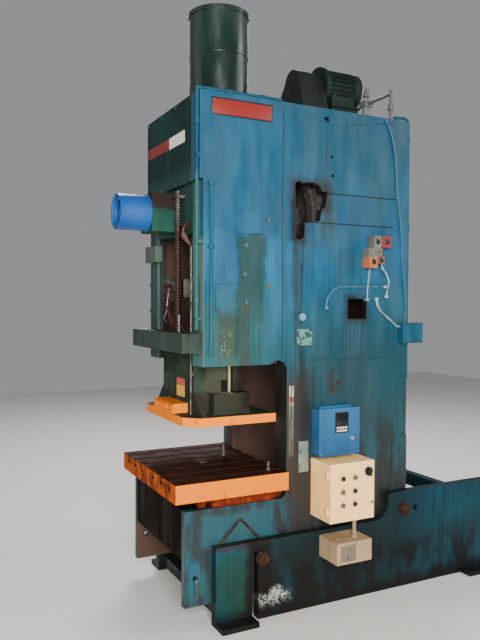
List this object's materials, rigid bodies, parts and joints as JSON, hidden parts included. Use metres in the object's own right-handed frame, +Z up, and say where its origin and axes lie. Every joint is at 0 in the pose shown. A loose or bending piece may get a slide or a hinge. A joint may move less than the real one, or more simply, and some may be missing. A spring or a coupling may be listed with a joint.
{
  "type": "mechanical stamping press",
  "caption": "Gap-frame mechanical press with open back on two legs: crank-driven slide over a slotted bolster, flywheel and belt drive, top air tank and side control boxes.",
  "frame": {"origin": "on the floor, at the centre of the four anchor bolt holes of the legs", "axes": "+X to the press's right, -Y to its front, +Z up"},
  "size_m": [1.115, 2.194, 3.21],
  "materials": {
    "body_paint": "worn blue enamel on plate",
    "cheek_paint": "worn light blue enamel",
    "cover_paint": "dark teal enamel",
    "base_paint": "dirty teal enamel",
    "slide_paint": "green painted casting",
    "bolster_steel": "orange paint, bare and oily on top",
    "bar_steel": "rusty bar stock",
    "tank_paint": "dark green enamel",
    "motor_paint": "dark grey-green enamel",
    "guard_paint": "black enamel",
    "bare_steel": "oily machined steel",
    "bronze": "cast bronze",
    "rusty_iron": "rusty casting",
    "belt_rubber": "matt rubber",
    "drum_paint": "bright blue enamel",
    "hose_plastic": "plastic hose",
    "conduit_steel": "painted steel conduit",
    "flexible_conduit": "rusty flexible conduit",
    "valve_body": "die-cast valve bodies",
    "cream_paint": "cream enamel",
    "monitor_paint": "blue enamel",
    "meter_paint": "grey-brown enamel",
    "black_plastic": "black plastic",
    "brown_plastic": "dirty brown plastic",
    "chrome_key": "bright plated lock"
  },
  "bodies": {
    "press": {"left_side_plate": "body_paint", "right_side_plate": "body_paint", "top_plate": "body_paint", "back_plate": "body_paint", "crown_wall": "body_paint", "rear_wall": "body_paint", "gib_cheeks": "cheek_paint", "front_cover": "cover_paint", "tie_bar": "base_paint", "front_bearing_beam": "cover_paint", "crank_bushes": "bronze", "slide_gibs": "bare_steel", "gib_bolts": "bare_steel", "bed": "body_paint", "packing_bars": "bar_steel", "bolster": "bolster_steel", "t_studs": "bare_steel", "left_leg": "base_paint", "right_leg": "base_paint", "leg_ties": "base_paint", "clamp_bolts": "bare_steel", "motor_base": "motor_paint", "motor": "motor_paint", "belt_guard": "guard_paint", "drive_belts": "belt_rubber", "air_tank": "tank_paint", "counterbalance_cylinders": "tank_paint", "crank_end_drum": "drum_paint", "drum_housing": "cover_paint", "adjuster_covers": "body_paint", "edge_conduits": "conduit_steel", "side_hoses": "hose_plastic", "junction_box": "body_paint", "air_valve": "valve_body", "monitor_box": "monitor_paint", "control_box": "cream_paint", "meter_box": "meter_paint", "filter_regulator": "conduit_steel", "terminal_box": "meter_paint", "spiral_conduit": "flexible_conduit"},
    "slide": {"slide_body": "slide_paint", "shank_clamp": "bolster_steel", "counterbalance_rods": "bare_steel", "gauge_rod": "bare_steel"},
    "crank": {"crankshaft": "bare_steel", "clutch_hub": "rusty_iron", "brake_disc": "bare_steel"},
    "rod": {"connection_strap": "bare_steel"},
    "screw": {"adjusting_screw": "bare_steel"},
    "flywheel": {"flywheel": "rusty_iron"},
    "motor_rotor": {"motor_pulley": "bare_steel"},
    "control_door": {"control_door": "cream_paint"},
    "button_1": {"button_1": "brown_plastic"},
    "button_2": {"button_2": "brown_plastic"},
    "button_3": {"button_3": "brown_plastic"},
    "button_4": {"button_4": "black_plastic"},
    "button_5": {"button_5": "brown_plastic"},
    "button_6": {"button_6": "black_plastic"},
    "selector": {"selector_handle": "black_plastic"},
    "key": {"key_switch": "chrome_key"}
  },
  "joints": [
    {"name": "slide_stroke", "type": "slide", "parent": "press", "child": "slide", "axis": [0, 0, 1], "range_m": [-0.1, 0]},
    {"name": "crank_spin", "type": "hinge", "parent": "press", "child": "crank", "pos_m": [0, -0.795, 2.08], "axis": [0, 1, 0], "continuous": true},
    {"name": "rod_pivot", "type": "hinge", "parent": "crank", "child": "rod", "pos_m": [0, -0.795, 2.13], "axis": [0, 1, 0], "continuous": true},
    {"name": "screw_turn", "type": "hinge", "parent": "rod", "child": "screw", "pos_m": [0, -0.795, 1.5], "axis": [0, 0, 1], "range_deg": [-180, 180]},
    {"name": "flywheel_spin", "type": "hinge", "parent": "press", "child": "flywheel", "pos_m": [0, -0.228, 2.08], "axis": [0, 1, 0], "continuous": true},
    {"name": "motor_spin", "type": "hinge", "parent": "press", "child": "motor_rotor", "pos_m": [0.12, -0.228, 2.85], "axis": [0, 1, 0], "continuous": true},
    {"name": "door_hinge", "type": "hinge", "parent": "press", "child": "control_door", "pos_m": [0.552, -0.335, 0.629], "axis": [0, 0, 1], "range_deg": [-110, 0]},
    {"name": "button_1_press", "type": "slide", "parent": "control_door", "child": "button_1", "axis": [-1, 0, 0], "range_m": [0, 0.003], "stiffness_N_per_m": 1500},
    {"name": "button_2_press", "type": "slide", "parent": "control_door", "child": "button_2", "axis": [-1, 0, 0], "range_m": [0, 0.003], "stiffness_N_per_m": 1500},
    {"name": "button_3_press", "type": "slide", "parent": "control_door", "child": "button_3", "axis": [-1, 0, 0], "range_m": [0, 0.003], "stiffness_N_per_m": 1500},
    {"name": "button_4_press", "type": "slide", "parent": "control_door", "child": "button_4", "axis": [-1, 0, 0], "range_m": [0, 0.003], "stiffness_N_per_m": 1500},
    {"name": "button_5_press", "type": "slide", "parent": "control_door", "child": "button_5", "axis": [-1, 0, 0], "range_m": [0, 0.003], "stiffness_N_per_m": 1500},
    {"name": "button_6_press", "type": "slide", "parent": "control_door", "child": "button_6", "axis": [-1, 0, 0], "range_m": [0, 0.003], "stiffness_N_per_m": 1500},
    {"name": "selector_turn", "type": "hinge", "parent": "control_door", "child": "selector", "pos_m": [0.57, -0.089, 0.726], "axis": [1, 0, 0], "range_deg": [0, 90]},
    {"name": "key_turn", "type": "hinge", "parent": "press", "child": "key", "pos_m": [0.46, -0.117, 0.886], "axis": [1, 0, 0], "range_deg": [0, 90]}
  ],
  "couplings": [
    {"joint": "rod_pivot", "follows": "crank_spin", "ratio": -1},
    {"joint": "motor_spin", "follows": "flywheel_spin", "ratio": 5.322}
  ]
}
